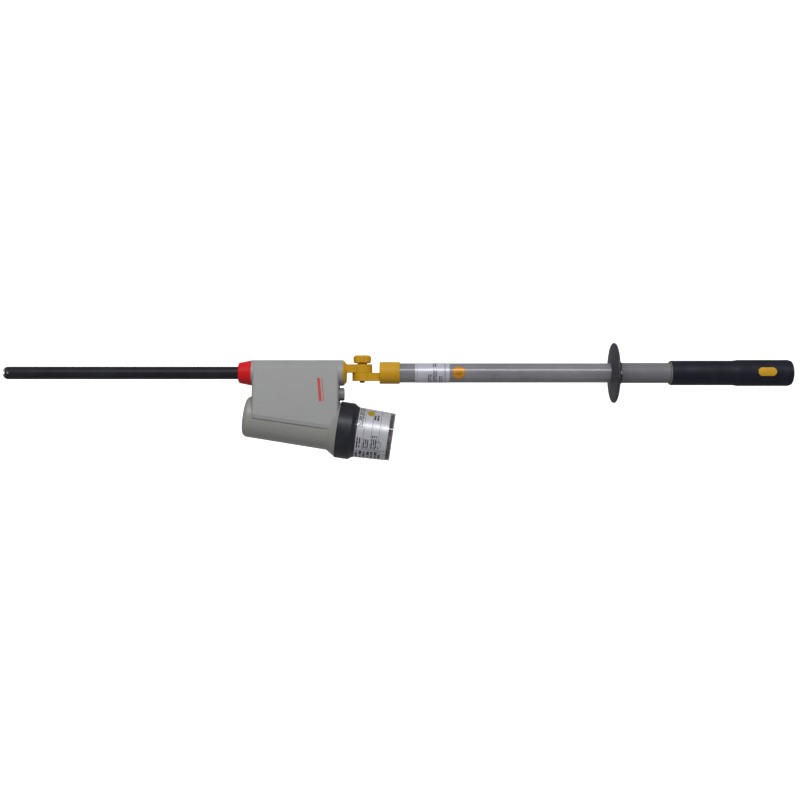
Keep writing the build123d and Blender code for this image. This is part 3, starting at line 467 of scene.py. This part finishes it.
columns = print_rules(step, column_start, column_pitch, column_count, cup_rule_width)
long_rule = turn.within(long_rule_from, long_rule_to) * (step > column_start)
bars = print_areas(cup_film, step, turn, cup_areas)
badge = print_oval(step, turn, badge_centre, badge_reach) < 1.0
ring = print_oval(step, turn, ring_centre, ring_reach).within(ring_inner, 1.0)
ink = (columns + long_rule + bars + ring).calc("MINIMUM", 1.0)
tone = cup_film.mix(ink * ink_strength, film_silver, ink_grey)
tone = cup_film.mix(badge, tone, badge_yellow)
cup_film.shade(Base_Color=tone)
cup_film.coat("cup_label")

# ---------------------------------------------------------------- union ring
# The black ring screws onto the case's neck and holds the cup. It is turned from bar, so very fine
# grooves run round it, and its edges are polished by hands.

ring_black = Finish("union_ring_black", (0.012, 0.013, 0.020, 1), 0.36, Specular_IOR_Level=0.35)
groove_place = ring_black.stretched((3600.0, 6.0, 6.0), case_place(ring_black))
grooves = ring_black.noise(1.0, 2.0, groove_place)
smears = ring_black.ramp(ring_black.noise(55.0, 6.0), (0.42, 0.0), (0.75, 1.0))
ring_black.shade(
    Base_Color=ring_black.mix(smears * 0.6, (0.011, 0.012, 0.019, 1), (0.030, 0.031, 0.042, 1)),
    Roughness=0.34 + grooves * 0.10 + smears * 0.08,
)
ring_black.relief(grooves, 0.00004)
ring_black.coat("union_ring")

# ---------------------------------------------------------------- test button
# A grey push button in the web's end wall, moulded with a fine grain.

button_grey = moulded_finish(
    "button_grey", (0.25, 0.25, 0.26, 1), (0.14, 0.14, 0.15, 1), 0.36, 2200.0, 0.00005
)
button_grey.coat("test_button")

# ---------------------------------------------------------------- coupling
# Both lugs are glass-filled polyamide in ochre yellow. The filler gives a fine mottled grain, and
# grime collects in it. The clamp knob and its washer are a lighter, cleaner yellow.

ochre = moulded_finish(
    "ochre_polyamide",
    (0.56, 0.300, 0.008, 1),
    (0.42, 0.210, 0.006, 1),
    0.44,
    grain=1500.0,
    grain_depth=0.00007,
    Specular_IOR_Level=0.25,
)
ochre.coat("upper_lug", "lower_lug")
knob_yellow = moulded_finish(
    "knob_yellow",
    (0.60, 0.330, 0.012, 1),
    (0.46, 0.24, 0.008, 1),
    0.40,
    grain=2000.0,
    grain_depth=0.00005,
    Specular_IOR_Level=0.25,
)
knob_yellow.coat("clamp_knob", "clamp_washer", "release_button")
stud_bronze = metal_finish("stud_bronze", (0.42, 0.20, 0.07, 1), (0.18, 0.08, 0.03, 1), 0.5)
stud_bronze.coat("clamp_stud")

# ---------------------------------------------------------------- insulating tube
# A grey glass-fibre tube filled with foam. It is drawn and then lacquered, so it has fine lines
# along it under a gloss coat. A duller sleeve is shrunk on it between the guard and the handle.

tube_skin = drawn_finish(
    "tube_glass_fibre",
    colour=(0.168, 0.165, 0.190, 1),
    dusty=(0.226, 0.223, 0.246, 1),
    roughness=0.27,
    line_scale=700.0,
    relief_depth=0.000006,
    Coat_Weight=0.35,
    Coat_Roughness=0.18,
)
tube_skin.coat("insulating_tube")
shrunk_sleeve = moulded_finish(
    "shrunk_sleeve",
    (0.150, 0.146, 0.162, 1),
    (0.185, 0.180, 0.196, 1),
    0.46,
    grain=1800.0,
    grain_depth=0.00005,
    Specular_IOR_Level=0.3,
)
shrunk_sleeve.coat("handle_sleeve")

# ---------------------------------------------------------------- tube label and sticker
# The tube carries a silvery wrapped film with plain rules and bars, and a round orange sticker with
# a darker rim and a few short bars. Neither has any words.

tube_silver = (0.50, 0.50, 0.57, 1)
tube_film = printed_film("tube_film", tube_silver)
label_low, label_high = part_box("tube_label")
label_length = label_high.x - label_low.x
x, y, z = tube_film.axes()
offset = x - label_low.x
turn = z.calc("ARCTAN2", y * -1.0)
tube_areas = (
    ((0.0200, 0.0265, -1.40, -0.15), 0.0030, 8.0),
    ((0.0275, 0.0335, 0.60, 1.30), 0.0030, 9.0),
    ((0.0280, 0.0345, -1.30, 0.25), 0.0032, 8.0),
    ((0.0370, 0.0430, -1.40, -0.35), 0.0028, 8.0),
)
first_rule = 0.0030
rule_pitch = 0.0420
rule_width = 0.0004
edge_inset = 0.0065
edge_width = 0.0005
edge_start = label_length - edge_inset
columns = print_rules(offset, first_rule, rule_pitch, 2, rule_width)
edge = offset.within(edge_start, edge_start + edge_width)
bars = print_areas(tube_film, offset, turn, tube_areas)
ink = (columns + bars + edge).calc("MINIMUM", 1.0)
tube_film.shade(Base_Color=tube_film.mix(ink * ink_strength, tube_silver, ink_grey))
tube_film.coat("tube_label")

sticker_orange = (0.56, 0.24, 0.012, 1)
sticker_ink = (0.16, 0.08, 0.02, 1)
sticker_row = 0.0026
sticker_grain = 420.0
sticker_row_shift = 5.1
sticker = printed_film("sticker_film", sticker_orange)
sticker_low, sticker_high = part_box("tube_sticker")
centre_x = (sticker_low.x + sticker_high.x) / 2
sticker_r = (sticker_high.x - sticker_low.x) / 2
x, _, z = sticker.axes()
radius = ((x - centre_x) * (x - centre_x) + z * z).calc("SQRT") / sticker_r
rim = radius.within(0.90, 0.97)
row = (z / sticker_row).calc("FLOOR")
place = sticker.node("CombineXYZ", sockets={0: x * sticker_grain, 1: row * sticker_row_shift})
bars = (sticker.noise(1.0, 1.0, place) > 0.5) * (radius < 0.52)
sticker.shade(Base_Color=sticker.mix(rim * 0.5 + bars * 0.55, sticker_orange, sticker_ink))
sticker.coat("tube_sticker")

# ---------------------------------------------------------------- hand guard
# A rubber disc with a low conical front, and a hard hub screwed behind it. The mould was turned, so
# faint rings run round both, and pale dust stays on the matt rubber.


def turned_rubber(name, colour, dust, roughness):
    """Moulded rubber with rings from the turned mould, and dust."""
    finish = Finish(name, colour, roughness, Specular_IOR_Level=0.35)
    across, up = finish.axes()[1:]
    distance = (across * across + up * up).calc("SQRT")
    rings = finish.noise(1.0, 2.0, finish.node("CombineXYZ", sockets={0: distance * 1400.0}))
    grain = finish.noise(1800.0, 2.0)
    dusty = finish.ramp(finish.noise(70.0, 7.0), (0.40, 0.0), (0.75, 1.0))
    finish.shade(
        Base_Color=finish.mix(dusty * 0.5 + rings * 0.2, colour, dust),
        Roughness=roughness + dusty * 0.12,
    )
    finish.relief(rings * 0.6 + grain * 0.5, 0.00008)
    return finish


guard_rubber = turned_rubber(
    "guard_rubber", (0.019, 0.020, 0.028, 1), (0.085, 0.088, 0.100, 1), 0.42
)
guard_rubber.coat("hand_guard")
hub_plastic = turned_rubber("hub_plastic", (0.008, 0.009, 0.016, 1), (0.02, 0.02, 0.03, 1), 0.40)
hub_plastic.coat("guard_hub")

# ---------------------------------------------------------------- handle
# The grips are black rubber sleeves with a fine pebbled grain, pulled onto the core. Skin oil has
# polished them in patches. The yellow release button sits in an oval opening.

grip_rubber = Finish("grip_rubber", (0.009, 0.010, 0.019, 1), 0.46, Specular_IOR_Level=0.19)
pebbles = grip_rubber.node(
    "TexVoronoi", {"feature": "SMOOTH_F1"}, {"Vector": grip_rubber.place, "Scale": 1100.0}
)
oil = grip_rubber.ramp(grip_rubber.noise(42.0, 6.0), (0.42, 0.0), (0.74, 1.0))
grip_rubber.shade(
    Base_Color=grip_rubber.mix(oil * 0.6, (0.009, 0.010, 0.019, 1), (0.018, 0.020, 0.033, 1)),
    Roughness=0.50 - oil * 0.14 + pebbles * 0.10,
)
grip_rubber.relief(pebbles, 0.00010)
grip_rubber.coat("front_grip", "rear_shell")

# ---------------------------------------------------------------- springs
# Music-wire springs behind both buttons, each seated at its far end. Pressing a button shortens its
# spring by the button's travel. Here each spring is only given a mesh of its own.

spring_steel = metal_finish("spring_wire", (0.55, 0.55, 0.56, 1), (0.30, 0.29, 0.28, 1), 0.25)
spring_steel.coat("test_button_spring", "release_spring")
for name, joint in (("test_button_spring", "test_press"), ("release_spring", "release_press")):
    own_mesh(frame["nodes"][name])

# ---------------------------------------------------------------- studio
# A pale sweep of paper under and behind the tool, one long soft box high in front, and a dim
# surround, so that black pieces stay black. The paper is bright where it is looked at directly.

view_distance = 1.69
view_offset = Vector((0.0584, 0.0, -0.0419))
view_lens = 49.05
floor_drop = 0.45
sweep_reach = 6.0
sweep_start = 1.2
sweep_bend = 0.8
bend_steps = 24
paper_grey = (0.45, 0.45, 0.45, 1)
surround_for_light = 0.28
surround_for_view = 1.0

middle = pivot + view_offset
floor_z = cad_box[0][2] - floor_drop
profile = [(-sweep_reach, floor_z), (sweep_start, floor_z)]
for number in range(1, bend_steps + 1):
    angle = math.radians(90 * number / bend_steps)
    bend_y = sweep_start + sweep_bend * math.sin(angle)
    profile.append((bend_y, floor_z + sweep_bend * (1 - math.cos(angle))))
profile.append((sweep_start + sweep_bend, floor_z + sweep_reach))
sweep_form = bmesh.new()
sides = []
for side in (-sweep_reach, sweep_reach):
    sides.append([sweep_form.verts.new((middle.x + side, depth, rise)) for depth, rise in profile])
for number in range(len(profile) - 1):
    corners = (sides[0][number], sides[1][number], sides[1][number + 1], sides[0][number + 1])
    sweep_form.faces.new(corners).smooth = True
sweep_mesh = bpy.data.meshes.new("sweep")
sweep_form.to_mesh(sweep_mesh)
sweep_form.free()
sweep = bpy.data.objects.new("sweep", sweep_mesh)
bpy.context.scene.collection.objects.link(sweep)
paper = Finish("studio_paper", paper_grey, 0.9, Emission_Strength=1.0)
looked_at = paper.node("LightPath")
paper.shade(Emission_Color=paper.mix(looked_at, (0, 0, 0, 1), (1, 1, 1, 1)))
sweep_mesh.materials.append(paper.material)


def soft_box(name, offset, width, height, power):
    """An area light that faces the tool's middle."""
    light = bpy.data.lights.new(name, "AREA")
    light.shape = "RECTANGLE"
    light.size = width
    light.size_y = height
    light.energy = power
    lamp = bpy.data.objects.new(name, light)
    lamp.location = middle + offset
    lamp.rotation_mode = "QUATERNION"
    lamp.rotation_quaternion = (-offset).to_track_quat("-Z", "Y")
    bpy.context.scene.collection.objects.link(lamp)
    return lamp


soft_box("key_box", Vector((0, -1.5, 1.15)), width=2.4, height=0.22, power=28)
top_box = soft_box("top_box", Vector((0, 0.1, 1.8)), width=2.4, height=1.2, power=9)
top_box.visible_glossy = False
back_box = soft_box("back_box", Vector((0, 1.5, 1.3)), width=2.4, height=0.8, power=14)
back_box.visible_glossy = False


class Surround(Finish):
    """The world's shading, built with the same node method."""

    def __init__(self, name):
        self.world = bpy.data.worlds.new(name)
        self.world.use_nodes = True
        self.tree = self.world.node_tree
        self.shader = self.tree.nodes["Background"]


surround = Surround("surround")
levels = {
    "Value": surround.node("LightPath"),
    "To Min": surround_for_light,
    "To Max": surround_for_view,
}
surround.shade(Color=(1, 1, 1, 1), Strength=surround.node("MapRange", sockets=levels))
bpy.context.scene.world = surround.world
bpy.context.scene.view_settings.view_transform = "Standard"

camera_data = bpy.data.cameras.new("camera")
camera_data.lens = view_lens
camera_data.sensor_width = 36.0
camera = bpy.data.objects.new("camera", camera_data)
camera.location = middle + Vector((0, -view_distance, 0))
camera.rotation_euler = (math.radians(90), 0, 0)
bpy.context.scene.collection.objects.link(camera)
bpy.context.scene.camera = camera
